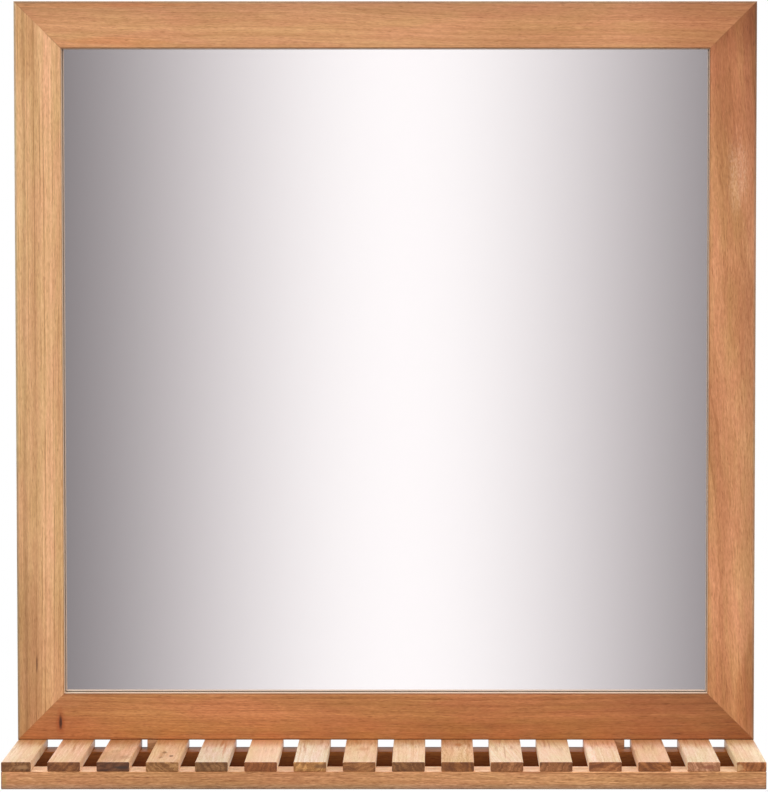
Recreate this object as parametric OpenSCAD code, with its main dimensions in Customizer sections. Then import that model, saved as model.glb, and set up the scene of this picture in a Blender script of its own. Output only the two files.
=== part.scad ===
// Wooden wall mirror with a slatted shelf under it.
// Millimetres, +Z up. +X is to the right of someone who looks into the mirror, and +Y goes into
// the wall. The origin lies in the wall plane, midway between the two keyhole hangers.

/* [Frame] */
// Width of the frame, and of the shelf under it
width = 600; // [480:10:720]
// Height of the frame, without the shelf
frame_h = 600; // [480:10:720]
// Width of the frame's members, seen from the front
member_w = 38; // [36:1:46]
// Thickness of the frame, front to back
frame_t = 20; // [19:0.5:26]
// Chamfer that eases the outer edges of all the wood
ease = 0.6; // [0.2:0.1:1]
// Chamfer along the inner front edge of the frame
inner_ease = 0.9; // [0.3:0.1:1.5]
// Thickness of the loose tongue in each mitre
tongue_t = 4; // [3:0.5:5]
// Length of a tongue along its mitre
tongue_l = 18; // [14:1:20]
// Width of a tongue across its mitre
tongue_w = 20; // [14:1:22]
// Distance along the mitre from the frame's corner to the tongue
tongue_inset = 16; // [15:0.5:20]
// Distance from the frame's front face to a tongue
tongue_depth = 6; // [5:0.5:7]

/* [Glass and backing] */
// Thickness of the lip in front of the glass
lip_t = 8; // [7:0.5:9]
// How far the lip reaches over the edge of the rabbet
lip_cover = 8; // [6:0.5:10]
// Thickness of the glass
glass_t = 3.8; // [3:0.1:4.8]
// Thickness of the silvering and its paint
silver_t = 0.2; // [0.1:0.05:0.3]
// Thickness of the backing board
board_t = 3; // [2:0.5:4]
// Gap round the glass and the board in the rabbet
glass_gap = 1; // [0.5:0.25:2]

/* [Turn buttons] */
// Width of the ledge that the buttons turn on
ledge_w = 10; // [9.5:0.5:12]
// Width of a button
button_w = 8; // [6:0.5:8.5]
// Length of a button from its pivot to its tip
button_reach = 18; // [14:1:24]
// Thickness of a button
button_t = 1.2; // [0.8:0.1:1.5]
// Distance of each button from the nearer corner of the frame
button_inset = 140; // [90:10:200]
// Free play above and below a button
button_play = 0.1; // [0.05:0.05:0.2]
// Radial clearance of a button on its screw
pivot_clearance = 0.05; // [0.02:0.01:0.1]

/* [Hangers] */
// Distance from the top of the frame down to the keyholes
hanger_drop = 60; // [60:5:150]
// Width of a hanger plate
plate_w = 14; // [13:0.5:15]
// Length of a hanger plate
plate_l = 44; // [42:1:56]
// Thickness of a hanger plate
plate_t = 1.5; // [1.5:0.25:2]
// Distance between the two screws of a hanger plate
plate_pitch = 34; // [33:0.5:35]
// Diameter of the keyhole's round entry
entry_d = 9; // [8:0.25:9.5]
// Width of the keyhole's slot
slot_w = 4.5; // [3.5:0.25:5]
// How far the slot rises above the entry's centre
slot_rise = 10; // [8:0.5:11]
// Depth of the pocket behind a plate for the wall screw's head
pocket_depth = 7; // [6:0.5:9]

/* [Shelf] */
// Depth of the shelf, from its front to the rear of its back rail
shelf_d = 110; // [90:5:140]
// How far the slats reach under the frame
bearing_d = 10; // [9:0.5:16]
// Depth of a rail, front to back
rail_d = 23; // [20:0.5:30]
// Height of a rail
rail_h = 14; // [11:0.5:18]
// Width of a slat
slat_w = 25.6; // [20:0.2:29]
// Thickness of a slat
slat_t = 7.5; // [6:0.5:10]
// Gap wanted between slats, which the spacing of whole slats comes close to
slat_gap = 13; // [10:0.5:16]
// How much is cut off the outer edge of each end slat
slat_cut = 2.3; // [0:0.1:5]
// Width of a spacer block
spacer_w = 8; // [6.5:0.5:11]

/* [Screws] */
// Shank diameter of the small screws
screw_d = 3; // [2.5:0.25:3.5]
// Head diameter of the small screws
head_d = 6; // [5.5:0.25:6.5]
// Height of a turn button's screw head
pan_h = 1.6; // [1.2:0.1:2]
// How deep the screws of the buttons and plates go into the wood
bite = 9; // [7:0.5:11]
// How deep the slat screws go into the slats
slat_bite = 5; // [4:0.25:5.5]
// Distance of the slat screws from the inner edge of a rail
slat_screw_inset = 8; // [6:0.5:9]
// Shank diameter of the screws that hold the frame on the shelf
fixing_d = 4; // [3.5:0.25:4.5]
// Head diameter of those screws
fixing_head_d = 7; // [6:0.25:7.5]
// How deep they go into the frame
fixing_bite = 20; // [15:1:22]
// Gap between a screw and its hole
hole_gap = 0.05; // [0:0.01:0.1]

/* [Hidden] */
$fn = 48;
// Slats in each half of the shelf
HALF_SLATS = round((width + 2 * slat_cut + slat_gap) / (slat_w + slat_gap) / 2);
// Each slat: the sign of its x, and its number counted from that end of the shelf
SLATS = [for (side = [-1, 1], i = [1:HALF_SLATS]) [side, i]];
// Gap, counted from either end of the shelf, that holds a spacer block
SPACER_GAP = 3;
// Slat, counted from either end of the shelf, that a fixing screw goes through
FIXED_SLAT = 2;
// How far a cutting tool runs past the face that it cuts
over = 1;

half_w = width / 2;
top_z = hanger_drop;
base_z = top_z - frame_h;
mid_z = top_z - frame_h / 2;
front_y = -frame_t;

rabbet_w = member_w - lip_cover;
band_w = rabbet_w - ledge_w;
pivot_u = rabbet_w - ledge_w / 2;
board_v = lip_t + glass_t + silver_t;
ledge_v = board_v + board_t;
glass_w = width - 2 * (rabbet_w + glass_gap);
glass_h = frame_h - 2 * (rabbet_w + glass_gap);

hanger_x = half_w - band_w / 2;
keyhole_mid = (slot_rise + slot_w / 2 - entry_d / 2) / 2;
// Room at each side of the wall screw's head in its pocket
pocket_gap = 0.5;

slat_top = base_z;
slat_base = slat_top - slat_t;
rail_base = slat_base - rail_h;
shelf_back = front_y + bearing_d;
shelf_front = shelf_back - shelf_d;
slat_pitch = (width + 2 * slat_cut - slat_w) / (len(SLATS) - 1);
front_screw_y = shelf_front + rail_d - slat_screw_inset;
back_screw_y = shelf_back - rail_d + slat_screw_inset;
spacer_inner = slat_x([1, SPACER_GAP + 1]) + slat_w / 2;
fixing_y = front_y + bearing_d / 2;
fixing_places = [spacer_inner + spacer_w / 2, slat_x([1, FIXED_SLAT])];

SLAT_TONES = ["tan", "wheat", "burlywood"];
// Each turn button: its side of the frame, its end of that side, and the sign of its x when
// that side is drawn as the bottom one
BUTTONS = [
    ["left", "upper", -1], ["left", "lower", 1], ["right", "upper", 1], ["right", "lower", -1],
    ["top", "left", 1], ["top", "right", -1], ["bottom", "left", -1], ["bottom", "right", 1]
];

function slat_x(s) = s[0] * (HALF_SLATS + 0.5 - s[1]) * slat_pitch;
function slat_name(s) = str("slat_", s[0] < 0 ? "left_" : "right_", s[1]);
function button_name(b) = str("turn_button_", b[0], "_", b[1]);
function side_length(side) = (side == "left" || side == "right") ? frame_h : width;
function button_x(b) = b[2] * (side_length(b[0]) / 2 - button_inset);

// ---- Shapes that repeat ----

// A rectangle with its corner at the origin and all four corners chamfered
module eased_rectangle(a, b, e) {
    polygon([[e, 0], [a - e, 0], [a, e], [a, b - e], [a - e, b], [e, b], [0, b - e], [0, e]]);
}

// A bar with its corner at the origin and all twelve edges chamfered
module eased_bar(size, e = ease) {
    intersection() {
        linear_extrude(size.z) eased_rectangle(size.x, size.y, e);
        translate([0, size.y, 0]) rotate([90, 0, 0])
            linear_extrude(size.y) eased_rectangle(size.x, size.z, e);
        rotate([90, 0, 90]) linear_extrude(size.x) eased_rectangle(size.y, size.z, e);
    }
}

// Turns a shape that points along +Z so that it points along +Y
module facing_wall() {
    rotate([-90, 0, 0]) children();
}

// The cross that a screwdriver fits, sunk into a head whose face is at z = 0
module driver_cross(head) {
    cross = head * 0.55;
    blade = head * 0.12;
    sunk = head * 0.16;
    for (turn = [0, 90]) {
        rotate([0, 0, turn]) translate([-cross / 2, -blade / 2, -sunk]) cube([cross, blade, sunk + over]);
    }
}

// Shank and point, from z = 0 down
module shank(d, l) {
    point_l = d;
    tip_d = d * 0.2;
    translate([0, 0, -(l - point_l)]) cylinder(h = l - point_l, d = d);
    translate([0, 0, -l]) cylinder(h = point_l, d1 = tip_d, d2 = d);
}

// Countersunk screw, the face of its head at z = 0
module flat_screw(d, head, l) {
    sink = (head - d) / 2;
    difference() {
        union() {
            translate([0, 0, -sink]) cylinder(h = sink, d1 = d, d2 = head);
            translate([0, 0, -sink]) shank(d, l - sink);
        }
        driver_cross(head);
    }
}

// The hole that such a screw goes into, a little larger all round and open above the head
module flat_hole(d, head, l) {
    sink = (head - d) / 2;
    translate([0, 0, -sink])
        cylinder(h = sink + over, d1 = d + 2 * hole_gap, d2 = head + 2 * (hole_gap + over));
    translate([0, 0, -l - hole_gap]) cylinder(h = l + hole_gap, d = d + 2 * hole_gap);
}

// Screw with a low round head, its head resting on z = 0
module pan_screw(d, head, l) {
    rim_h = pan_h / 2;
    crown_d = head * 0.7;
    difference() {
        union() {
            cylinder(h = rim_h, d = head);
            translate([0, 0, rim_h]) cylinder(h = pan_h - rim_h, d1 = head, d2 = crown_d);
            shank(d, l);
        }
        translate([0, 0, pan_h]) driver_cross(head);
    }
}

// ---- Frame ----

// Section of a frame member. x runs back from the front face and y in from the outer edge.
module member_section() {
    polygon([
        [0, ease], [ease, 0], [frame_t - ease, 0], [frame_t, ease],
        [frame_t, band_w], [ledge_v, band_w], [ledge_v, rabbet_w], [lip_t, rabbet_w],
        [lip_t, member_w], [inner_ease, member_w], [0, member_w - inner_ease]
    ]);
}

// A mitred member along x, centred, its outer edge at z = 0 and its front face at y = 0
module mitred_member(l) {
    intersection() {
        rotate([90, 0, 90]) linear_extrude(l, center = true) member_section();
        translate([0, frame_t + over, 0]) rotate([90, 0, 0]) linear_extrude(frame_t + 2 * over)
            polygon([[-l / 2, 0], [l / 2, 0], [l / 2 - member_w, member_w], [-l / 2 + member_w, member_w]]);
    }
}

// Carries what is made for the bottom member round to any side of the frame
module on_side(side) {
    if (side == "bottom") translate([0, front_y, base_z]) children();
    if (side == "top") translate([0, front_y, top_z]) rotate([0, 180, 0]) children();
    if (side == "left") translate([-half_w, front_y, mid_z]) rotate([0, 90, 0]) children();
    if (side == "right") translate([half_w, front_y, mid_z]) rotate([0, -90, 0]) children();
}

// The tongue of the mitre at the low x end of a member, grown by gap
module tongue_shape(l, gap = 0) {
    translate([-l / 2, tongue_depth - gap, 0]) rotate([0, -45, 0])
        translate([tongue_inset - gap, 0, -tongue_w / 2 - gap])
            cube([tongue_l + 2 * gap, tongue_t + 2 * gap, tongue_w + 2 * gap]);
}

module mitre_tongue(side) {
    color("burlywood") on_side(side) tongue_shape(side_length(side));
}

module frame_member(side, tone) {
    l = side_length(side);
    color(tone) difference() {
        on_side(side) difference() {
            mitred_member(l);
            tongue_shape(l, hole_gap);
            mirror([1, 0, 0]) tongue_shape(l, hole_gap);
            for (b = BUTTONS) if (b[0] == side) {
                translate([button_x(b), ledge_v - bite - hole_gap, pivot_u]) facing_wall()
                    cylinder(h = bite + hole_gap + over, d = screw_d + 2 * hole_gap);
            }
        }
        if (side == "left") hanger_recess(-1);
        if (side == "right") hanger_recess(1);
        if (side == "bottom") fixing_holes();
    }
}

// ---- Glass and backing ----

module pane(v, t) {
    translate([-glass_w / 2, front_y + v, mid_z - glass_h / 2]) cube([glass_w, t, glass_h]);
}

module mirror_glass() {
    color("lightsteelblue") pane(lip_t, glass_t);
}

module mirror_silvering() {
    color("silver") pane(lip_t + glass_t, silver_t);
}

module backing_board() {
    color("peru") pane(board_v, board_t);
}

// ---- Turn buttons ----

// At rest a button points in from its pivot, over the board
module turn_button(b) {
    r = button_w / 2;
    color("goldenrod") on_side(b[0]) translate([button_x(b), ledge_v + button_play, pivot_u])
        facing_wall() difference() {
            union() {
                cylinder(h = button_t, r = r);
                translate([-r, -button_reach + r, 0]) cube([button_w, button_reach - r, button_t]);
                translate([0, -button_reach + r, 0]) cylinder(h = button_t, r = r);
            }
            translate([0, 0, -over])
                cylinder(h = button_t + 2 * over, d = screw_d + 2 * pivot_clearance);
        }
}

module turn_button_screws() {
    neck = button_t + 2 * button_play;
    color("darkgray") for (b = BUTTONS) {
        on_side(b[0]) translate([button_x(b), ledge_v + neck, pivot_u]) facing_wall()
            pan_screw(screw_d, head_d, bite + neck);
    }
}

// ---- Hangers ----

// Outline with round ends and its middle at the origin
module long_round(w, l) {
    square([w, l - w], center = true);
    for (end = [-1, 1]) translate([0, end * (l - w) / 2]) circle(d = w);
}

// Carries a shape drawn in x and z, thick along +y, to a keyhole in the wall plane
module at_hanger(side) {
    translate([side * hanger_x, 0, 0]) rotate([90, 0, 0]) children();
}

module hanger_screw_places() {
    for (end = [-1, 1]) translate([0, keyhole_mid + end * plate_pitch / 2, 0]) children();
}

module hanger_plate(side) {
    color("lightgray") at_hanger(side) difference() {
        translate([0, keyhole_mid, 0]) linear_extrude(plate_t) long_round(plate_w, plate_l);
        translate([0, 0, -over]) cylinder(h = plate_t + 2 * over, d = entry_d);
        translate([-slot_w / 2, 0, -over]) cube([slot_w, slot_rise, plate_t + 2 * over]);
        translate([0, slot_rise, -over]) cylinder(h = plate_t + 2 * over, d = slot_w);
        hanger_screw_places() rotate([180, 0, 0]) flat_hole(screw_d, head_d, plate_t + over);
    }
}

// The recess for the plate, the pocket behind its keyhole, and the holes for its screws
module hanger_recess(side) {
    pocket_w = entry_d + 2 * pocket_gap;
    at_hanger(side) {
        translate([0, keyhole_mid, -over]) linear_extrude(plate_t + over)
            long_round(plate_w + 2 * hole_gap, plate_l + 2 * hole_gap);
        translate([0, slot_rise / 2, 0]) linear_extrude(plate_t + pocket_depth)
            long_round(pocket_w, slot_rise + pocket_w);
        hanger_screw_places() rotate([180, 0, 0]) flat_hole(screw_d, head_d, bite);
    }
}

module hanger_plate_screws() {
    color("darkgray") for (side = [-1, 1]) {
        at_hanger(side) hanger_screw_places() rotate([180, 0, 0]) flat_screw(screw_d, head_d, bite);
    }
}

// ---- Shelf ----

module shelf_rail(y, screw_y) {
    difference() {
        translate([-half_w, y, rail_base]) eased_bar([width, rail_d, rail_h]);
        for (s = SLATS) slat_hole(s, screw_y);
    }
}

module shelf_front_rail() {
    color("#b8825d") shelf_rail(shelf_front, front_screw_y);
}

module shelf_back_rail() {
    color("#ae825f") difference() {
        shelf_rail(shelf_back - rail_d, back_screw_y);
        fixing_holes();
    }
}

module slat(s) {
    low = max(slat_x(s) - slat_w / 2, -half_w);
    high = min(slat_x(s) + slat_w / 2, half_w);
    color(SLAT_TONES[s[1] % len(SLAT_TONES)]) difference() {
        translate([low, shelf_front, slat_base]) eased_bar([high - low, shelf_d, slat_t]);
        for (y = [front_screw_y, back_screw_y]) slat_hole(s, y);
        if (s[1] == FIXED_SLAT) fixing_holes();
    }
}

// The place of a slat's screw under a rail, pointing up
module under_slat(s, y) {
    translate([slat_x(s), y, rail_base]) rotate([180, 0, 0]) children();
}

module slat_hole(s, y) {
    under_slat(s, y) flat_hole(screw_d, head_d, rail_h + slat_bite);
}

module slat_screws(y) {
    color("darkgray") for (s = SLATS) {
        under_slat(s, y) flat_screw(screw_d, head_d, rail_h + slat_bite);
    }
}

module spacer_block(side) {
    low = side < 0 ? -spacer_inner - spacer_w : spacer_inner;
    color("peru") difference() {
        translate([low, front_y, slat_base]) cube([spacer_w, bearing_d, slat_t]);
        fixing_holes();
    }
}

// The places of the screws into the frame, under the back rail, pointing up
module under_frame() {
    for (side = [-1, 1], x = fixing_places) {
        translate([side * x, fixing_y, rail_base]) rotate([180, 0, 0]) children();
    }
}

module fixing_holes() {
    under_frame() flat_hole(fixing_d, fixing_head_d, rail_h + slat_t + fixing_bite);
}

module frame_fixing_screws() {
    color("dimgray") under_frame() flat_screw(fixing_d, fixing_head_d, rail_h + slat_t + fixing_bite);
}

// ---- Nodes ----

frame_member("top", "#c88d67");  // frame_top_rail
frame_member("bottom", "#aa6d43");  // frame_bottom_rail
frame_member("left", "#d7a87a");  // frame_left_stile
frame_member("right", "#b97750");  // frame_right_stile
mitre_tongue("left");  // mitre_tongue_top_left
mitre_tongue("top");  // mitre_tongue_top_right
mitre_tongue("bottom");  // mitre_tongue_bottom_left
mitre_tongue("right");  // mitre_tongue_bottom_right
mirror_glass();
mirror_silvering();
backing_board();
for (b = BUTTONS) {
    turn_button(b);
}
turn_button_screws();
hanger_plate(-1);  // hanger_plate_left
hanger_plate(1);  // hanger_plate_right
hanger_plate_screws();
shelf_front_rail();
shelf_back_rail();
for (s = SLATS) {
    slat(s);
}
slat_screws(front_screw_y);  // front_slat_screws
slat_screws(back_screw_y);  // back_slat_screws
spacer_block(-1);  // spacer_block_left
spacer_block(1);  // spacer_block_right
frame_fixing_screws();
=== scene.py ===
"""Wooden wall mirror with a slatted shelf: materials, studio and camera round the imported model."""

import math

import bpy
from mathutils import Euler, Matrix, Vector


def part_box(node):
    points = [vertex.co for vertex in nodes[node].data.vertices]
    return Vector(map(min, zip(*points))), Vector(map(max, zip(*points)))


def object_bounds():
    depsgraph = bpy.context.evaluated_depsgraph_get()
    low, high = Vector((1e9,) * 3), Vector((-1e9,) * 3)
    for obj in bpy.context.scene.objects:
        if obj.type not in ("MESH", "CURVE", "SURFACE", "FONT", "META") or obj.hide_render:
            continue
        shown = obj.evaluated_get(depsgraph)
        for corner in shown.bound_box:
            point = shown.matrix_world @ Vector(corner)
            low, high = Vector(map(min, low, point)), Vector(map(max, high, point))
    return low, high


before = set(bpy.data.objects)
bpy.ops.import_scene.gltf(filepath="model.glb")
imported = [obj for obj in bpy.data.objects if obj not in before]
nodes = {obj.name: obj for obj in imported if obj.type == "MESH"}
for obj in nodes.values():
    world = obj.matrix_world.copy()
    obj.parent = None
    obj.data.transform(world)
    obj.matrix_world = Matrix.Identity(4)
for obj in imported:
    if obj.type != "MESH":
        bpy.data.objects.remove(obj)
cad_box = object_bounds()

MM = 0.001

# ---- Camera, at the photograph's viewing angle ----

# The photograph's size and the focal length that fits it, in its pixels
PHOTO_W = 768
PHOTO_H = 792
FOCAL_PX = 3129
SENSOR_MM = 36
# The camera's place in metres, its tilt in degrees, and its shift as a share of the picture's longer side
EYE = (0.0424, -2.5535, -0.0915)
TILT_DOWN = 2.625
SHIFT = (-0.068, -0.080)


def make_camera():
    data = bpy.data.cameras.new("camera")
    data.sensor_width = SENSOR_MM
    data.lens = FOCAL_PX * SENSOR_MM / max(PHOTO_W, PHOTO_H)
    data.shift_x, data.shift_y = SHIFT
    camera = bpy.data.objects.new("camera", data)
    camera.location = EYE
    camera.rotation_euler = Euler((math.radians(90 - TILT_DOWN), 0, 0))
    bpy.context.scene.collection.objects.link(camera)
    bpy.context.scene.camera = camera


# ---- Colours ----


def linear(*screen):
    """A colour given as 0 to 255 on a screen, as the shaders need it."""
    found = []
    for value in screen:
        c = value / 255
        found.append(c / 12.92 if c <= 0.04045 else ((c + 0.055) / 1.055) ** 2.4)
    return tuple(found)


def tinted(colour, tint):
    return tuple(c * t for c, t in zip(colour, tint))


# ---- Node building ----

# A Mix node has inputs A and B and an output for each type of data. These are its colours', by number
MIX_COLOUR_A = 6
MIX_COLOUR_B = 7
MIX_COLOUR_OUT = 2


class NodeTree:
    """Short calls for the nodes used here. Each takes sockets or plain values and returns a socket."""

    def __init__(self, tree):
        self.tree = tree
        tree.nodes.clear()

    def node(self, kind, **settings):
        made = self.tree.nodes.new("ShaderNode" + kind)
        for name, value in settings.items():
            setattr(made, name, value)
        return made

    def put(self, socket, value):
        if isinstance(value, bpy.types.NodeSocket):
            self.tree.links.new(value, socket)
        elif socket.type == "RGBA":
            socket.default_value = (*value, 1.0)
        else:
            socket.default_value = value

    def math(self, operation, a, b=0.0):
        made = self.node("Math", operation=operation)
        self.put(made.inputs[0], a)
        self.put(made.inputs[1], b)
        return made.outputs[0]

    def add(self, *terms):
        total = terms[0]
        for term in terms[1:]:
            total = self.math("ADD", total, term)
        return total

    def sub(self, a, b):
        return self.math("SUBTRACT", a, b)

    def mul(self, a, b):
        return self.math("MULTIPLY", a, b)

    def length(self, a, b):
        return self.math("SQRT", self.add(self.mul(a, a), self.mul(b, b)))

    def ramp(self, value, low, high):
        """0 where value is low, 1 where it is high, and smooth between them."""
        made = self.node("MapRange", interpolation_type="SMOOTHSTEP")
        self.put(made.inputs["Value"], value)
        self.put(made.inputs["From Min"], low)
        self.put(made.inputs["From Max"], high)
        return made.outputs[0]

    def fall(self, value, low, high):
        """1 where value is low, 0 where it is high, and smooth between them."""
        return self.sub(1.0, self.ramp(value, low, high))

    def swing(self, value, reach):
        """A value that runs from 0 to 1, as one that runs from -reach / 2 to reach / 2."""
        return self.mul(self.sub(value, 0.5), reach)

    def vector(self, x, y, z):
        made = self.node("CombineXYZ")
        for socket, value in zip(made.inputs, (x, y, z)):
            self.put(socket, value)
        return made.outputs[0]

    def split(self, socket):
        made = self.node("SeparateXYZ")
        self.put(made.inputs[0], socket)
        return list(made.outputs)

    def noise(self, where, detail=2.0, roughness=0.5, dimensions="3D"):
        """Noise between 0 and 1, with about one cell to each unit of `where`."""
        made = self.node("TexNoise", noise_dimensions=dimensions)
        self.put(made.inputs["W" if dimensions == "1D" else "Vector"], where)
        made.inputs["Scale"].default_value = 1.0
        made.inputs["Detail"].default_value = detail
        made.inputs["Roughness"].default_value = roughness
        return made.outputs["Fac"]

    def noise_along(self, where, detail=2.0, roughness=0.5):
        """Noise that depends on one number only."""
        return self.noise(where, detail, roughness, "1D")

    def mix(self, share, a, b, blend="MIX"):
        """The colour a where share is 0, and where it is 1 the colour b, or b blended with a."""
        made = self.node("Mix", data_type="RGBA", blend_type=blend)
        self.put(made.inputs["Factor"], share)
        self.put(made.inputs[MIX_COLOUR_A], a)
        self.put(made.inputs[MIX_COLOUR_B], b)
        return made.outputs[MIX_COLOUR_OUT]

    def tint(self, share, colour, tint):
        """That share of the colour multiplied by tint."""
        return self.mix(share, colour, self.mix(1.0, colour, tint, "MULTIPLY"))

    def shaded(self, tone, shade, depth):
        """The tone itself where depth is 0, multiplied by shade where it is 1, and so on to either side."""
        return self.vector(*(self.mul(t, self.math("POWER", part, depth)) for t, part in zip(tone, shade)))


class Finish(NodeTree):
    """A material with one Principled shader."""

    def __init__(self, name):
        self.material = bpy.data.materials.new(name)
        self.material.use_nodes = True
        super().__init__(self.material.node_tree)
        self.shader = self.node("BsdfPrincipled")
        self.output = self.node("OutputMaterial")
        self.put(self.output.inputs["Surface"], self.shader.outputs[0])

    def set(self, **values):
        """Sets or links inputs of the shader, named with _ for each space."""
        for name, value in values.items():
            self.put(self.shader.inputs[name.replace("_", " ")], value)

    def place(self):
        """x, y and z in the row frame, in metres."""
        return self.split(self.node("TexCoord").outputs["Object"])

    def facing(self):
        """x, y and z of the direction that the surface faces."""
        return self.split(self.node("NewGeometry").outputs["True Normal"])

    def bump(self, height, distance):
        """Fine relief, in which a height of 1 stands that distance above a height of 0."""
        made = self.node("Bump")
        made.inputs["Strength"].default_value = 1.0
        made.inputs["Distance"].default_value = distance
        self.put(made.inputs["Height"], height)
        self.put(self.shader.inputs["Normal"], made.outputs[0])


# ---- Wood ----

# For each grain direction: the axis along the grain, then the two across it
GRAIN_AXES = {"X": (0, 1, 2), "Y": (1, 0, 2), "Z": (2, 0, 1)}
# The grain's layers of noise: cells per metre along the grain and across it, a shift that sets each
# layer's pattern apart from the others', and the noise's detail and roughness
GRAIN_LAYERS = {
    "bend_u": (3, 9, 0.0, 1.0, 0.5),
    "bend_v": (3, 9, 7.0, 1.0, 0.5),
    "waves": (30, 70, 3.0, 2.0, 0.5),
    "line_places": (16, 220, 37.0, 1.0, 0.5),
    "fibre": (62, 820, 11.0, 2.0, 0.6),
    "fleck": (260, 1150, 17.0, 1.0, 0.5),
    "pore": (140, 1900, 23.0, 1.0, 0.5),
    "broad": (5, 22, 29.0, 2.0, 0.5),
    "drift": (14, 90, 41.0, 2.0, 0.6),
}
# What the darker grain multiplies the tone by, in oiled wood and in the slats' paler wood
OILED_SHADE = (0.67, 0.59, 0.50)
PALE_SHADE = (0.80, 0.69, 0.55)
# The sum of the layers at which the wood has its own tone, and how fast the tone deepens above it
EVEN_SPREAD = 0.16
DEPTH_GAIN = 3.2
# What is added to a tone of 1 where it drifts to green and where it drifts to red
TO_GREEN = (-0.025, 0.03, -0.06)
TO_RED = (0.025, -0.035, -0.01)
# The wood's roughness where its fibre is 0, and what it gains where the fibre is 1
WOOD_ROUGHNESS = 0.34
FIBRE_ROUGHNESS = 0.14
# A face looks squarely along an axis, or aslant to it, between these parts of its direction
SQUARE_ON = (0.8, 0.95)
ASLANT = (0.4, 0.6)

# Tones of the ends, of the painted light on the faces round the glass, and of the marks
OAK_END = linear(142, 94, 60)
REVEAL_PAINTED_LIGHT = linear(248, 218, 190)
DARK_SLIT = linear(72, 34, 16)
MITRE_GLUE = linear(110, 64, 36)
FOOT_STREAK = linear(172, 112, 66)


def wood(name, grain, tone, end_tone, seed, pith, lit_top_tone=None, shade=OILED_SHADE, ring=2.5 * MM,
         line_gap=1.6 * MM, lean=0.0, wander=4 * MM, ripple=1.8 * MM, contrast=0.25, lines=0.4, hue=1.0,
         gloss=0.5, marks=()):
    """Oiled wood, sawn from a log whose pith lies at `pith` on the two axes across the grain.

    Growth rings run round the pith, `ring` apart, with thin dark lines about `line_gap` apart. The tree
    leans by `lean` for each metre along, wanders by up to `wander` either way and ripples by up to half
    of `ripple`. Its sides have `tone`, its ends `end_tone`, and its faces that look up `lit_top_tone`,
    where it is given, as painted light and sheen from above. `shade` is what the darker grain multiplies
    the tone by, `contrast` how far the grain differs in depth of colour, `lines` how dark the thin lines
    are, `hue` how far the tone drifts to green and to red, and `gloss` the shader's specular level. The
    `marks` then change the colour in turn. Each `seed` has a pattern of its own.
    """
    s = Finish(name)
    place = s.place()
    facing = s.facing()
    along, u, v = (place[axis] for axis in GRAIN_AXES[grain])

    def layer(kind, a=u, b=v):
        """One of the grain's layers, by the places a and b across the grain."""
        per_m_along, per_m_across, shift, detail, roughness = GRAIN_LAYERS[kind]
        where = s.vector(
            s.add(s.mul(along, per_m_along), seed * 1.7 + shift),
            s.add(s.mul(a, per_m_across), seed * 3.1 + shift),
            s.add(s.mul(b, per_m_across), seed * 5.3 - shift),
        )
        return s.noise(where, detail, roughness)

    bend_u = s.swing(layer("bend_u"), 2 * wander)
    bend_v = s.swing(layer("bend_v"), 2 * wander)
    waves = s.swing(layer("waves"), ripple)
    tree_u = s.add(u, s.mul(along, lean), bend_u, waves)
    tree_v = s.add(v, bend_v, waves)
    radius = s.length(s.sub(tree_u, pith[0]), s.sub(tree_v, pith[1]))

    rings = s.ramp(s.noise_along(s.add(s.mul(radius, 1 / ring), seed), 3.0, 0.6), 0.3, 0.7)
    fine_rings = s.noise_along(s.add(s.mul(radius, 1.5 / line_gap), seed * 2.9), 1.0)
    line_places = s.ramp(layer("line_places", tree_u, tree_v), 0.35, 0.65)
    dark_line = s.mul(s.ramp(fine_rings, 0.56, 0.70), line_places)
    fibre = layer("fibre", tree_u, tree_v)
    fleck = layer("fleck", tree_u, tree_v)
    pore = s.ramp(layer("pore", tree_u, tree_v), 0.60, 0.70)
    broad = s.ramp(layer("broad"), 0.3, 0.7)
    drift = s.ramp(layer("drift", tree_u, tree_v), 0.3, 0.7)

    # How much each layer deepens the colour
    spread = s.add(
        s.swing(rings, 0.60),
        s.swing(broad, 0.60),
        s.swing(fibre, 1.60),
        s.swing(fleck, 1.30),
        s.mul(dark_line, lines),
        s.mul(pore, 0.9),
    )
    depth = s.mul(s.sub(spread, EVEN_SPREAD), DEPTH_GAIN * contrast)
    colour = s.shaded(tone, shade, depth)
    # Painted light and sheen: faces that look up take the paler tone given for tops
    if lit_top_tone:
        colour = s.mix(s.ramp(facing[2], *SQUARE_ON), colour, s.shaded(lit_top_tone, shade, depth))
    greener = tuple(1 + hue * part for part in TO_GREEN)
    redder = tuple(1 + hue * part for part in TO_RED)
    colour = s.mix(1.0, colour, s.mix(drift, greener, redder), "MULTIPLY")

    is_end = s.ramp(s.math("ABSOLUTE", facing[GRAIN_AXES[grain][0]]), *ASLANT)
    colour = s.mix(is_end, colour, end_grain(s, u, v, radius, ring, end_tone, seed))
    for mark in marks:
        colour = mark(s, place, colour)

    roughness = s.add(WOOD_ROUGHNESS, s.mul(fibre, FIBRE_ROUGHNESS))
    s.set(Base_Color=colour, Roughness=roughness, Specular_IOR_Level=gloss)
    s.bump(s.sub(s.add(fibre, s.mul(dark_line, -0.4)), pore), 0.05 * MM)
    return s.material


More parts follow.
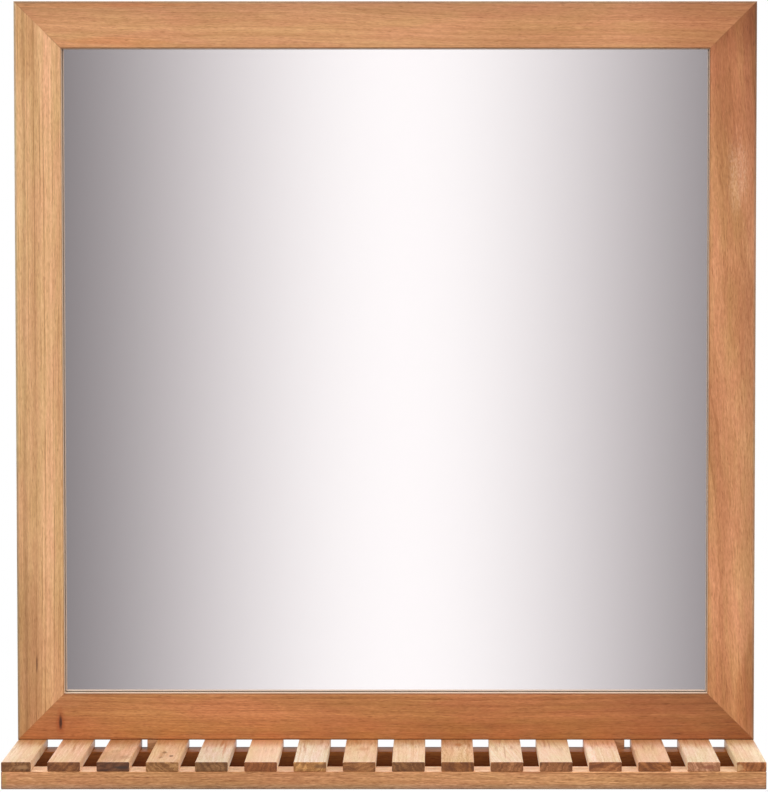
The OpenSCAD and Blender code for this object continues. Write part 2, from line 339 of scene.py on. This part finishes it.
def end_grain(s, u, v, radius, ring, tone, seed):
    """The colour of the ends, which take up more oil than the sides and show rings and open pores."""

    def cells(per_m_u, per_m_v, shift):
        return s.vector(s.mul(u, per_m_u), s.mul(v, per_m_v), shift)

    speck = s.ramp(s.noise(cells(1500, 1500, seed), 2.0), 0.3, 0.7)
    swirl = s.noise(cells(110, 200, seed * 4.3), 3.0, 0.6)
    patch = s.noise(cells(95, 160, seed * 2.3), 2.0, 0.6)
    rings = s.noise_along(s.add(s.mul(radius, 0.8 / ring), s.mul(swirl, 3.2), seed * 1.3), 2.0, 0.5)
    depth = s.add(
        s.swing(s.ramp(rings, 0.32, 0.68), 1.35),
        s.swing(s.ramp(patch, 0.35, 0.65), 1.15),
        s.swing(speck, 0.95),
    )
    return s.shaded(tone, OILED_SHADE, depth)


# ---- Marks on the wood ----
#
# A mark takes the finish, the place and the colour found so far, and returns the colour with the mark.
# Places are in metres in the row frame.

# How far an upright streak sways, from side to side
STREAK_SWAY = 3 * MM
# The painted shade and reflection on the frame's outer arris: its tint, how far from the edge it is
# full and where it ends, and the y at which it is full and at which it ends
ARRIS_SHADE_TINT = (0.74, 0.92, 1.12)
ARRIS_FULL = 1.0 * MM
ARRIS_END = 2.4 * MM
ARRIS_FULL_Y = -0.0190
ARRIS_END_Y = -0.0180
# Of the faces that look back, only the lip's lie before this y
LIP_BEFORE_Y = -0.010
# The slats' tops towards the frame: painted light from one y to the next, then painted shade, darker and
# redder
FOOT_LIGHT_Y = (-0.110, -0.080)
FOOT_LIGHT = (1.06, 1.05, 1.07)
FOOT_SHADE_Y = (-0.064, -0.020)
FOOT_SHADE = (0.62, 0.46, 0.30)
STREAKED_Y = (-0.045, 0.0)
SLAT_FOOT_TINT_Y = (-0.065, -0.040)
# The height of the middle of the frame, at which its mitres' diagonals would cross
MITRES_CROSS_Z = -0.24
# How far from a mitre its line reaches, along x
MITRE_REACH = 0.7 * MM


def blot(s, place, x, other, wide, high, ragged, axis=2):
    """1 in the middle of an uneven patch round x, and round `other` on that axis, and 0 outside it."""
    a = s.mul(s.sub(place[0], x), 2 / wide)
    b = s.mul(s.sub(place[axis], other), 2 / high)
    uneven = s.noise(s.vector(s.mul(a, 1.5), s.mul(b, 1.5), x * 90), 3.0, 0.6)
    return s.fall(s.add(s.length(a, b), s.swing(uneven, ragged)), 0.3, 1.1)


def spot(x, other, wide, high, colour, strength=0.8, on_top=False, as_tint=False, ragged=0.8):
    """A patch of another colour or tint round x and z, or round x and y on a face seen from above."""

    def mark(s, place, found):
        share = s.mul(blot(s, place, x, other, wide, high, ragged, 1 if on_top else 2), strength)
        return s.tint(share, found, colour) if as_tint else s.mix(share, found, colour)

    return mark


def highlight_flecks(x, z, wide, high, colour, strength):
    """A painted highlight: short pale flecks along an upright grain, thickest round x and z."""

    def mark(s, place, found):
        fleck = s.noise(s.vector(s.mul(place[0], 1000), 0.0, s.mul(place[2], 330)), 2.0, 0.6)
        share = s.mul(blot(s, place, x, z, wide, high, 1.2), s.ramp(fleck, 0.36, 0.70))
        return s.mix(s.mul(share, strength), found, colour)

    return mark


def end_spot(x, z, wide, high, colour, strength=0.75):
    """A patch of another tone on the end of a slat that faces the front."""

    def mark(s, place, found):
        faces_front = s.math("LESS_THAN", s.facing()[1], -0.6)
        share = s.mul(blot(s, place, x, z, wide, high, 1.5), faces_front)
        return s.mix(s.mul(share, strength), found, colour)

    return mark


def fade(axis, start, end, tint):
    """Changes the tone by tint, from nothing at start to all of it at end."""

    def mark(s, place, found):
        return s.tint(s.ramp(place[axis], start, end), found, tint)

    return mark


def fade_down(axis, start, end, tint):
    """As fade, where start is the higher end."""

    def mark(s, place, found):
        return s.tint(s.fall(place[axis], end, start), found, tint)

    return mark


def upright_streak(x, wide, tint):
    """A soft band of another tone up the whole of a stile, which wanders a little as the grain does."""

    def mark(s, place, found):
        sway = s.swing(s.noise(s.vector(x * 900, 0.0, s.mul(place[2], 7)), 2.0), STREAK_SWAY)
        off = s.math("ABSOLUTE", s.add(s.sub(place[0], x), sway))
        return s.tint(s.fall(off, 0.0, wide / 2), found, tint)

    return mark


def outer_arris_shade(s, place, found):
    """The front outer edge at the frame's top and sides, painted darker and cooler than its face as painted
    shade and reflection.
    """
    x, y, z = place
    high = cad_box[1]
    from_edge = s.math("MINIMUM", s.sub(high.x, s.math("ABSOLUTE", x)), s.sub(high.z, z))
    near_edge = s.fall(from_edge, ARRIS_FULL, ARRIS_END)
    near_front = s.fall(y, ARRIS_FULL_Y, ARRIS_END_Y)
    return s.tint(s.mul(near_edge, near_front), found, ARRIS_SHADE_TINT)


def reveal(axis, way, arris_shade_tint=(0.80, 0.77, 0.72)):
    """The faces round the glass, painted pale: painted light on those that look along the axis and on the
    lip's back.

    The arris between them and the front has a painted shade of its own.
    """

    def mark(s, place, found):
        facing = s.facing()
        inward = s.mul(facing[axis], way)
        # Painted shade on the arris, then painted light on the faces round the glass
        arris = s.sub(s.ramp(inward, *ASLANT), s.ramp(inward, *SQUARE_ON))
        found = s.tint(arris, found, arris_shade_tint)
        on_lip = s.math("LESS_THAN", place[1], LIP_BEFORE_Y)
        lip_back = s.mul(s.ramp(facing[1], *SQUARE_ON), on_lip)
        pale_lit = s.math("MAXIMUM", s.ramp(inward, *SQUARE_ON), lip_back)
        return s.mix(s.mul(pale_lit, 0.9), found, REVEAL_PAINTED_LIGHT)

    return mark


def foot_shade_and_streaks(seed):
    """The slats' tops towards the frame: painted light, then painted shade and reflection that make them
    darker and redder, and streaks along the grain.
    """

    def mark(s, place, found):
        x, y, _ = place
        found = s.tint(s.ramp(y, *FOOT_LIGHT_Y), found, FOOT_LIGHT)
        found = s.tint(s.ramp(y, *FOOT_SHADE_Y), found, FOOT_SHADE)
        streaks = s.noise(s.vector(s.mul(x, 420), s.mul(y, 22), seed * 3.7), 2.0, 0.6)
        reach = s.noise(s.vector(s.mul(x, 150), 0.0, seed * 1.9), 1.0)
        near_frame = s.ramp(s.add(y, s.mul(reach, 0.08)), *STREAKED_Y)
        share = s.mul(s.ramp(streaks, 0.50, 0.66), near_frame)
        return s.mix(s.mul(share, 0.60), found, FOOT_STREAK)

    return mark


def foot(*tint):
    """Tints one slat's top near the frame's foot, over the painted light and shade there."""
    return fade(1, *SLAT_FOOT_TINT_Y, tint)


def mitre_lines(s, place, found):
    """The hairline along the frame's four mitres, here and there strong enough to see."""
    x, _, z = place
    from_middle = s.math("ABSOLUTE", s.sub(z, MITRES_CROSS_Z))
    off = s.math("ABSOLUTE", s.sub(s.math("ABSOLUTE", x), from_middle))
    open_here = s.ramp(s.noise(s.vector(s.mul(x, 60), 0.0, s.mul(z, 60)), 1.0), 0.42, 0.65)
    share = s.mul(s.fall(off, 0.0, MITRE_REACH), s.add(0.08, s.mul(open_here, 0.35)))
    return s.mix(share, found, MITRE_GLUE)


# ---- The wood of each piece ----


def frame_woods():
    """What is particular to each member of the frame."""
    return {
        "frame_top_rail": dict(
            grain="X", tone=linear(199, 143, 99), seed=1.0, pith=(0.010, 0.115), ring=3.4 * MM, lean=0.04,
            wander=9 * MM, contrast=0.19, lines=0.6, hue=0.9,
            marks=[fade(0, -0.1, 0.2, (0.97, 0.94, 0.92)), fade(0, 0.18, 0.265, (0.80, 0.70, 0.64)),
                   # Painted light round the glass, and painted shade towards the top edge
                   reveal(2, -1), fade(2, 0.040, 0.056, (0.88, 0.84, 0.86)),
                   spot(-0.2180, 0.0275, 120 * MM, 9 * MM, (1.05, 0.90, 0.76), 0.6, as_tint=True,
                        ragged=1.8),
                   spot(-0.2150, 0.0575, 180 * MM, 8 * MM, (1.06, 0.90, 0.80), 0.7, as_tint=True,
                        ragged=1.8)]),
        "frame_bottom_rail": dict(
            grain="X", tone=linear(179, 117, 71), seed=2.0, pith=(0.012, -0.600), ring=4.2 * MM,
            wander=8 * MM, contrast=0.25, lines=0.6, hue=1.2,
            marks=[fade(0, 0.0, 0.16, (0.95, 0.94, 0.93)), fade(0, 0.14, 0.25, (0.78, 0.73, 0.71)),
                   fade(0, 0.25, 0.29, (0.80, 0.72, 0.62)),
                   fade_down(2, -0.514, -0.538, (0.88, 0.79, 0.66)),
                   fade(2, -0.522, -0.506, (0.93, 0.92, 0.93)),
                   # Painted light round the glass, with a deeper painted shade on the lip's arris
                   reveal(2, 1, (0.60, 0.52, 0.45)),
                   # Painted shade: the dark line where the rail's foot meets the slats
                   fade_down(2, -0.5380, -0.5400, (0.60, 0.50, 0.40)),
                   # The paler wood above the knot at the left end, then the knot's rim and its heart
                   spot(-0.2600, -0.5080, 50 * MM, 18 * MM, (1.07, 1.20, 1.26), 0.9, as_tint=True),
                   spot(-0.2651, -0.5250, 9 * MM, 25 * MM, linear(150, 66, 26), 0.6),
                   spot(-0.2651, -0.5255, 3.6 * MM, 15 * MM, DARK_SLIT, 1.0, ragged=0.4)]),
        "frame_left_stile": dict(
            grain="Z", tone=linear(215, 167, 121), seed=3.0, pith=(-0.42, 0.03), ring=2.6 * MM,
            line_gap=2.0 * MM, wander=3 * MM, contrast=0.21, lines=1.5, hue=0.8,
            marks=[fade_down(2, -0.36, -0.46, (0.92, 0.90, 0.88)), reveal(0, 1),
                   spot(-0.2920, 0.0300, 24 * MM, 90 * MM, (0.86, 0.82, 0.74), 1.0, as_tint=True),
                   spot(-0.2940, -0.4900, 30 * MM, 260 * MM, (0.84, 0.80, 0.76), 1.0, as_tint=True),
                   fade_down(2, -0.48, -0.535, (0.90, 0.84, 0.80)),
                   upright_streak(-0.2925, 5.5 * MM, (0.72, 0.68, 0.62)),
                   upright_streak(-0.2845, 8 * MM, (0.85, 0.82, 0.77)),
                   upright_streak(-0.2735, 16 * MM, (1.12, 1.10, 1.18)),
                   # The fine dark slit above the foot
                   spot(-0.2841, -0.4777, 1.1 * MM, 19 * MM, DARK_SLIT, 1.0, ragged=0.3)]),
        "frame_right_stile": dict(
            grain="Z", tone=linear(200, 140, 97), seed=4.0, pith=(0.275, 0.06), ring=3.6 * MM,
            lean=0.05, wander=6 * MM, contrast=0.255, hue=1.1,
            marks=[fade(2, -0.15, 0.01, (0.78, 0.67, 0.62)), fade(2, 0.0, 0.05, (0.68, 0.60, 0.50)),
                   fade_down(2, -0.42, -0.52, (0.86, 0.80, 0.74)), reveal(0, -1),
                   spot(0.2930, -0.5050, 20 * MM, 70 * MM, (0.88, 0.77, 0.70), 1.0, as_tint=True),
                   fade(0, 0.2830, 0.2975, (0.80, 0.78, 0.76)),
                   # A painted highlight in the upper part: a pale patch and the pale flecks in it
                   spot(0.2850, -0.085, 17 * MM, 80 * MM, (1.18, 1.28, 1.40), 0.8, as_tint=True,
                        ragged=1.4),
                   highlight_flecks(0.2850, -0.080, 22 * MM, 74 * MM, linear(232, 188, 158), 0.45)]),
    }


def slat_woods():
    """What is particular to each slat, from the left end of the shelf to the right one. Their pale tones are
    in part a painted sheen.
    """
    knot = linear(122, 84, 50)
    return {
        "slat_left_1": dict(tone=linear(228, 198, 164), end_tone=linear(121, 77, 41), marks=[
            end_spot(-0.2836, -0.5440, 15 * MM, 4 * MM, linear(172, 128, 88))]),
        "slat_left_2": dict(tone=linear(232, 194, 163), end_tone=linear(119, 70, 34), lines=0.7),
        "slat_left_3": dict(tone=linear(223, 180, 145), end_tone=linear(92, 52, 27), contrast=0.34, marks=[
            foot(0.91, 0.92, 0.94),
            spot(-0.2150, -0.1020, 24 * MM, 60 * MM, (0.68, 0.61, 0.54), 0.6, on_top=True,
                 as_tint=True, ragged=2.6),
            spot(-0.2050, -0.0960, 9 * MM, 24 * MM, (0.62, 0.52, 0.42), 0.6, on_top=True,
                 as_tint=True, ragged=2.0),
            end_spot(-0.2060, -0.5440, 16 * MM, 3.4 * MM, linear(50, 34, 26), 0.85)]),
        "slat_left_4": dict(tone=linear(228, 189, 153), end_tone=linear(146, 99, 56), marks=[
            spot(-0.1758, -0.0880, 8 * MM, 40 * MM, (0.66, 0.58, 0.46), 0.5, on_top=True,
                 as_tint=True, ragged=1.4),
            spot(-0.1752, -0.0775, 5 * MM, 11 * MM, knot, 0.75, on_top=True),
            spot(-0.1766, -0.0990, 4 * MM, 9 * MM, knot, 0.6, on_top=True),
            spot(-0.1688, -0.0930, 4.5 * MM, 10 * MM, knot, 0.95, on_top=True)]),
        "slat_left_5": dict(tone=linear(232, 212, 190), end_tone=linear(120, 79, 43), lines=0.3, marks=[
            foot(1.0, 0.86, 0.83),
            spot(-0.1285, -0.0650, 1.4 * MM, 90 * MM, linear(206, 130, 84), 0.6, on_top=True)]),
        "slat_left_6": dict(tone=linear(242, 210, 178), end_tone=linear(141, 81, 40), contrast=0.14, marks=[
            foot(1.02, 0.92, 0.90)]),
        "slat_left_7": dict(tone=linear(244, 224, 202), end_tone=linear(176, 122, 69), lines=0.8, marks=[
            end_spot(-0.0470, -0.5430, 20 * MM, 6 * MM, linear(118, 76, 44), 0.85)]),
        "slat_left_8": dict(tone=linear(239, 204, 170), end_tone=linear(139, 87, 46), lines=0.6, marks=[
            spot(-0.0180, -0.0620, 12 * MM, 24 * MM, linear(212, 156, 108), 0.7, on_top=True, ragged=1.8)]),
        "slat_right_8": dict(tone=linear(238, 205, 167), end_tone=linear(111, 67, 32), lines=0.9, marks=[
            foot(0.91, 0.93, 0.97)]),
        "slat_right_7": dict(tone=linear(231, 192, 152), end_tone=linear(124, 72, 32), ripple=9 * MM,
                             contrast=0.36, lines=0.9, marks=[
            foot(0.90, 0.89, 0.92),
            spot(0.0590, -0.0430, 8 * MM, 18 * MM, linear(178, 116, 72), 0.8, on_top=True, ragged=1.4)]),
        "slat_right_6": dict(tone=linear(244, 219, 188), end_tone=linear(139, 86, 48), lean=0.12, marks=[
            spot(0.0958, -0.0753, 1.6 * MM, 80 * MM, linear(196, 148, 108), 0.6, on_top=True)]),
        "slat_right_5": dict(tone=linear(243, 215, 184), end_tone=linear(135, 82, 45), contrast=0.18,
                             lean=0.1),
        "slat_right_4": dict(tone=linear(245, 215, 186), end_tone=linear(146, 88, 48), lines=0.7, marks=[
            foot(1.02, 0.90, 0.90)]),
        "slat_right_3": dict(tone=linear(232, 192, 156), end_tone=linear(136, 78, 36), contrast=0.2, marks=[
            foot(0.94, 0.94, 0.98)]),
        "slat_right_2": dict(tone=linear(241, 217, 190), end_tone=linear(182, 127, 92), marks=[
            foot(0.97, 0.85, 0.80),
            end_spot(0.2543, -0.5440, 14 * MM, 4 * MM, linear(142, 82, 56))]),
        "slat_right_1": dict(tone=linear(231, 203, 168), end_tone=linear(154, 93, 49), marks=[
            end_spot(0.2780, -0.5450, 9 * MM, 8 * MM, linear(206, 160, 112))]),
    }


# ---- Metal, glass and board ----

# Metal's fine scratches in cells per metre across them and along them, and its clouding
SCRATCHES_ACROSS = 900
SCRATCHES_ALONG = 60
CLOUDS = 120
DULLED = (0.72, 0.70, 0.66)
# The screen pattern on the hardboard: the length of one wave of it
MESH = 1.6 * MM


def metal(name, colour, roughness):
    s = Finish(name)
    x, y, z = s.place()
    scratched = s.vector(s.mul(x, SCRATCHES_ACROSS), s.mul(y, SCRATCHES_ALONG), s.mul(z, SCRATCHES_ALONG))
    brushed = s.noise(scratched, 3.0, 0.6)
    cloud = s.noise(s.vector(s.mul(x, CLOUDS), s.mul(y, CLOUDS), s.mul(z, CLOUDS)), 3.0, 0.6)
    s.set(
        Base_Color=s.mix(s.ramp(cloud, 0.35, 0.7), colour, tinted(colour, DULLED)),
        Metallic=1.0,
        Roughness=s.add(roughness, s.swing(brushed, 0.25)),
    )
    s.bump(brushed, 0.005 * MM)
    return s.material


def glass():
    s = Finish("clear_glass")
    s.set(Base_Color=(0.985, 0.992, 0.988), Roughness=0.0, IOR=1.52, Transmission_Weight=1.0)
    return s.material


def silver():
    s = Finish("silver_coat")
    s.set(Base_Color=(0.985, 0.965, 0.975), Metallic=1.0, Roughness=0.0)
    return s.material


def hardboard():
    s = Finish("hardboard")
    x, y, z = s.place()
    fluff = s.noise(s.vector(s.mul(x, 260), s.mul(y, 260), s.mul(z, 260)), 4.0, 0.7)
    mesh_x = s.math("SINE", s.mul(x, math.tau / MESH))
    mesh_z = s.math("SINE", s.mul(z, math.tau / MESH))
    weave = s.mul(mesh_x, mesh_z)
    shade = s.add(s.mul(fluff, 0.8), s.mul(weave, 0.15))
    s.set(
        Base_Color=s.mix(s.ramp(shade, 0.2, 0.75), linear(156, 116, 80), linear(116, 80, 52)),
        Roughness=0.85,
        Specular_IOR_Level=0.2,
    )
    s.bump(s.add(weave, fluff), 0.08 * MM)
    return s.material


# How far the glass's faces draw in from the silvering's, so that light can tell which it meets first
FILM_GAP = 0.04 * MM


def part_glass_from_silver():
    shrink = nodes["mirror_glass"].modifiers.new("film_gap", "DISPLACE")
    shrink.mid_level = 0.0
    shrink.strength = -FILM_GAP


# ---- Dressing the pieces ----

# The slats' seeds count up from this one
FIRST_SLAT_SEED = 10


def dress(node, material):
    piece = nodes[node]
    if not piece.material_slots:
        piece.data.materials.append(None)
    for slot in piece.material_slots:
        slot.link = "OBJECT"
        slot.material = material


def dress_frame():
    for node, looks in frame_woods().items():
        # Every member gets the painted shade and reflection on its outer arris, and the hairlines at its
        # mitres
        looks["marks"] = [*looks["marks"], outer_arris_shade, mitre_lines]
        dress(node, wood("wood_" + node, end_tone=OAK_END, **looks))


def slat_pith(node, seed):
    """Above the slat and to one side of it, by steps that change from slat to slat."""
    low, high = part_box(node)
    return (low.x + 1.7 * (seed % 5 - 2) * (high.x - low.x), high.z + 0.02 + 0.01 * (seed % 3))


def dress_slats():
    for seed, (node, looks) in enumerate(slat_woods().items(), FIRST_SLAT_SEED):
        # Each slat's top gets painted light and shade towards the frame, with streaks along the grain
        looks["marks"] = [foot_shade_and_streaks(seed), *looks.get("marks", [])]
        dress(node, wood("wood_" + node, grain="Y", seed=seed, pith=slat_pith(node, seed), ring=2.2 * MM,
                         shade=PALE_SHADE, **looks))


def dress_rails():
    # The rails' tops take paler tones as painted light and sheen from above
    dress("shelf_front_rail", wood(
        "wood_front_rail", grain="X", tone=linear(184, 127, 82), lit_top_tone=linear(234, 194, 160),
        end_tone=OAK_END, seed=31.0, pith=(-0.07, -0.60), contrast=0.42, lines=0.8, wander=6 * MM,
        hue=0.7,
        marks=[spot(-0.2975, -0.5540, 5 * MM, 18 * MM, linear(176, 136, 78), 0.6),
               # A painted shade line, darker and greyer, along the front rail's lower edge
               fade_down(2, -0.5565, -0.5590, (0.78, 0.86, 1.02)),
               fade_down(2, -0.5588, -0.5612, (0.74, 0.76, 0.80))]))
    dress("shelf_back_rail", wood(
        "wood_back_rail", grain="X", tone=linear(148, 86, 42), lit_top_tone=linear(166, 108, 64),
        end_tone=OAK_END, seed=32.0, pith=(-0.02, -0.60), gloss=0.15,
        # Painted shade, darker towards the bottom of the back rail's face under the slats
        marks=[fade_down(2, -0.5480, -0.5615, (0.58, 0.42, 0.20))]))


def dress_small_wood():
    spacer = wood("wood_spacer", grain="X", tone=linear(170, 124, 86), end_tone=OAK_END, seed=40.0,
                  pith=(0, -0.5))
    for side in ("left", "right"):
        dress("spacer_block_" + side, spacer)
    tongue = wood("wood_tongue", grain="X", tone=linear(200, 156, 110), end_tone=OAK_END, seed=41.0,
                  pith=(0, -0.5))
    for corner in ("top_left", "top_right", "bottom_left", "bottom_right"):
        dress("mitre_tongue_" + corner, tongue)


def dress_mirror():
    dress("mirror_glass", glass())
    dress("mirror_silvering", silver())
    dress("backing_board", hardboard())
    part_glass_from_silver()


def dress_metal():
    brass = metal("button_brass", linear(214, 178, 112), 0.34)
    for node in nodes:
        if node.startswith("turn_button_") and node != "turn_button_screws":
            dress(node, brass)
    dress("turn_button_screws", metal("screw_brass", linear(206, 170, 104), 0.30))
    plate = metal("plate_steel", linear(196, 198, 202), 0.36)
    for side in ("left", "right"):
        dress("hanger_plate_" + side, plate)
    steel = metal("screw_steel", linear(186, 188, 192), 0.32)
    for node in ("hanger_plate_screws", "front_slat_screws", "back_slat_screws", "frame_fixing_screws"):
        dress(node, steel)


# ---- Studio ----

# The floor's distance below the object and its radius, in metres, and the number of its sides
FLOOR_DROP = 0.35
FLOOR_RADIUS = 1.6
FLOOR_SIDES = 96
# The floor's colour where it throws light on the object, and where it is seen
FLOOR_LIT = (0.25, 0.25, 0.25)
FLOOR_SEEN = (0.9, 0.9, 0.9)
# Between these distances from its middle the floor that is seen goes over into the white behind it
FLOOR_FADE_FROM = 0.6 * FLOOR_RADIUS
FLOOR_FADE_TO = 0.98 * FLOOR_RADIUS
# The dome's colour, its light from above the horizon and from below it, and where that changes, by height
DOME_COLOUR = (1.0, 0.985, 0.965)
DOME_HIGH = 0.95
DOME_LOW = 0.14
DOME_FROM, DOME_TO = -0.15, 0.35
DEGREES = 180 / math.pi
# The bright band that the mirror shows: the angle of its middle, its reach in degrees, and its levels
BAND_ANGLE = -0.615
BAND_REACH = 7.92
BAND_LOW = 0.165
BAND_HIGH = 1.050
# Its green and its blue as a share of its red, where it is dark, and how much each gains per level
SHOWN_GREEN = (0.894, 0.065)
SHOWN_BLUE = (0.930, 0.035)
# Between these angles the studio's sides grow bright again, and between these heights its ceiling
SIDES_FROM, SIDES_TO = 12, 75
CEILING_FROM, CEILING_TO = 0.10, 0.35
# To the sides, the angle and the heights at which the brightness of the floor's rim fades out
RIM_TO = 30
RIM_LOW, RIM_HIGH = -0.42, -0.22
LAMP_COLOUR = (1.0, 0.98, 0.95)
# The lamps' names, places, targets, sizes in metres and powers in watts
LAMPS = (
    ("softbox", (-1.9, -1.9, 0.75), (0, -0.05, -0.25), 1.2, 27),
    ("softbox", (1.9, -1.9, 0.75), (0, -0.05, -0.25), 1.2, 27),
    ("overhead", (0, -0.25, 1.5), (0, -0.07, -0.54), 1.2, 6.5),
)


def seen_by_eye(t):
    """1 for rays from the camera, off a gloss or through glass, and 1 for rays from the camera alone."""
    path = t.node("LightPath")
    camera = path.outputs["Is Camera Ray"]
    seen = t.math("MAXIMUM", camera, path.outputs["Is Glossy Ray"])
    return t.math("MAXIMUM", seen, path.outputs["Is Transmission Ray"]), camera


def make_floor():
    low, _ = cad_box
    bpy.ops.mesh.primitive_circle_add(vertices=FLOOR_SIDES, radius=FLOOR_RADIUS, fill_type="NGON",
                                      location=(0, 0, low.z - FLOOR_DROP))
    floor = bpy.context.object
    floor.name = "floor"
    s = Finish("floor_paint")
    seen, _ = seen_by_eye(s)
    s.set(Base_Color=s.mix(seen, FLOOR_LIT, FLOOR_SEEN), Roughness=0.9, Specular_IOR_Level=0.0)
    x, y, _ = s.place()
    rim = s.mul(s.ramp(s.length(x, y), FLOOR_FADE_FROM, FLOOR_FADE_TO), seen)
    join = s.node("MixShader")
    s.put(join.inputs[0], rim)
    s.put(join.inputs[1], s.shader.outputs[0])
    s.put(join.inputs[2], s.node("Emission").outputs[0])
    s.put(s.output.inputs["Surface"], join.outputs[0])
    floor.data.materials.append(s.material)


def make_world():
    world = bpy.data.worlds.new("studio")
    bpy.context.scene.world = world
    world.use_nodes = True
    t = NodeTree(world.node_tree)
    x, y, z = t.split(t.node("TexCoord").outputs["Generated"])

    dome = t.node("Background")
    t.put(dome.inputs["Color"], DOME_COLOUR)
    up = t.ramp(z, DOME_FROM, DOME_TO)
    t.put(dome.inputs["Strength"], t.add(DOME_LOW, t.mul(up, DOME_HIGH - DOME_LOW)))

    # What the mirror and the varnish show of the studio, by the angle from straight in front
    turn = t.mul(t.math("ARCTAN2", x, t.mul(y, -1.0)), DEGREES)
    band = t.fall(t.math("ABSOLUTE", t.sub(turn, BAND_ANGLE)), 0.0, BAND_REACH)
    sides = t.ramp(t.math("ABSOLUTE", turn), SIDES_FROM, SIDES_TO)
    ceiling = t.ramp(z, CEILING_FROM, CEILING_TO)
    # Beyond the floor's rim the studio stays as bright as the floor, so that no horizon shows
    beside = t.ramp(t.math("ABSOLUTE", turn), SIDES_FROM, RIM_TO)
    rim = t.mul(t.fall(z, RIM_LOW, RIM_HIGH), beside)
    bright = t.math("MAXIMUM", t.math("MAXIMUM", band, sides), t.math("MAXIMUM", ceiling, rim))
    level = t.add(BAND_LOW, t.mul(bright, BAND_HIGH - BAND_LOW))
    green, blue = (
        t.mul(level, t.add(start, t.mul(level, gain)))
        for start, gain in (SHOWN_GREEN, SHOWN_BLUE)
    )
    shown = t.vector(level, green, blue)

    seen, camera = seen_by_eye(t)
    studio = t.node("Background")
    t.put(studio.inputs["Color"], t.mix(camera, shown, (1, 1, 1)))
    join = t.node("MixShader")
    t.put(join.inputs[0], seen)
    t.put(join.inputs[1], dome.outputs[0])
    t.put(join.inputs[2], studio.outputs[0])
    t.put(t.node("OutputWorld").inputs["Surface"], join.outputs[0])


def make_lamp(name, place, target, size, power):
    data = bpy.data.lights.new(name, "AREA")
    data.shape = "DISK"
    data.size = size
    data.energy = power
    data.color = LAMP_COLOUR
    lamp = bpy.data.objects.new(name, data)
    lamp.visible_glossy = False
    lamp.visible_transmission = False
    lamp.location = place
    lamp.rotation_euler = (Vector(target) - Vector(place)).to_track_quat("-Z", "Y").to_euler()
    bpy.context.scene.collection.objects.link(lamp)


make_camera()
dress_frame()
dress_slats()
dress_rails()
dress_small_wood()
dress_mirror()
dress_metal()
make_floor()
make_world()
for lamp in LAMPS:
    make_lamp(*lamp)

scene = bpy.context.scene
scene.view_settings.view_transform = "Standard"
